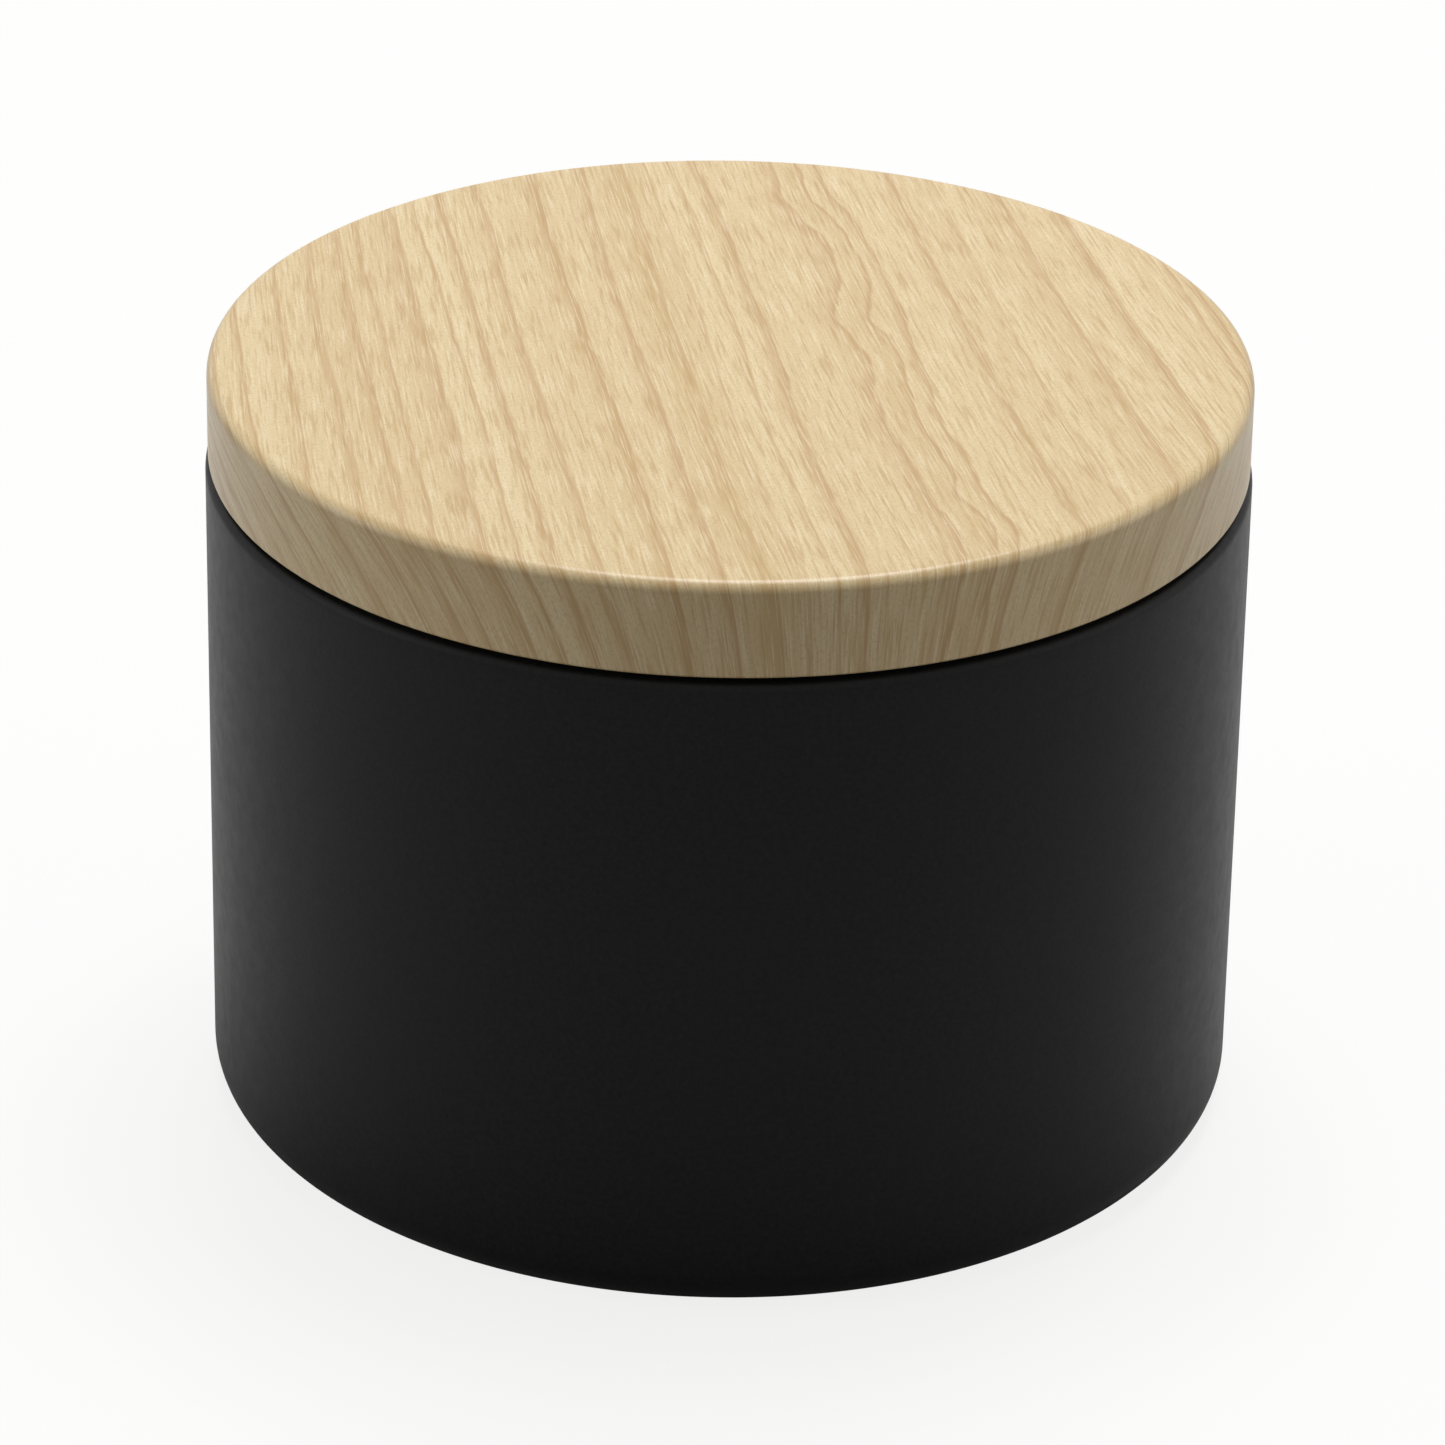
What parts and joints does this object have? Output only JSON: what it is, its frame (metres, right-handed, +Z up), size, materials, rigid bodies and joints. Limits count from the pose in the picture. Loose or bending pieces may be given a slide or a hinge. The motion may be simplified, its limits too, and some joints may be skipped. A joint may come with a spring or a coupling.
{
  "type": "candle tin",
  "caption": "Round seamless black tin with a wood-grain slip lid and foam liner, filled with wax round a single braided wick on a metal foot.",
  "frame": {"origin": "centre of the foot ring on the plane the tin stands on", "axes": "+Z up along the axis of the tin, towards the lid; X and Y are equivalent"},
  "size_m": [0.08, 0.08, 0.0605],
  "materials": {
    "black_coat": "matte",
    "wood_print": "satin",
    "liner_foam": "matte",
    "wax": "satin",
    "cotton_braid": "matte",
    "foot_tinplate": "satin",
    "dot_foam": "matte",
    "label_paper": "matte"
  },
  "bodies": {
    "tin": {"tin_body": "black_coat", "wax_fill": "wax", "wick": "cotton_braid", "wick_foot": "foot_tinplate", "wick_dot": "dot_foam", "base_label": "label_paper"},
    "liner": {"lid_liner": "liner_foam"},
    "lid": {"lid_shell": "wood_print"}
  },
  "joints": [
    {"name": "lid_lift", "type": "slide", "parent": "tin", "child": "liner", "axis": [0, 0, 1], "range_m": [0, 0.04]},
    {"name": "lid_turn", "type": "hinge", "parent": "liner", "child": "lid", "pos_m": [0, 0, 0.0605], "axis": [0, 0, 1], "continuous": true}
  ]
}
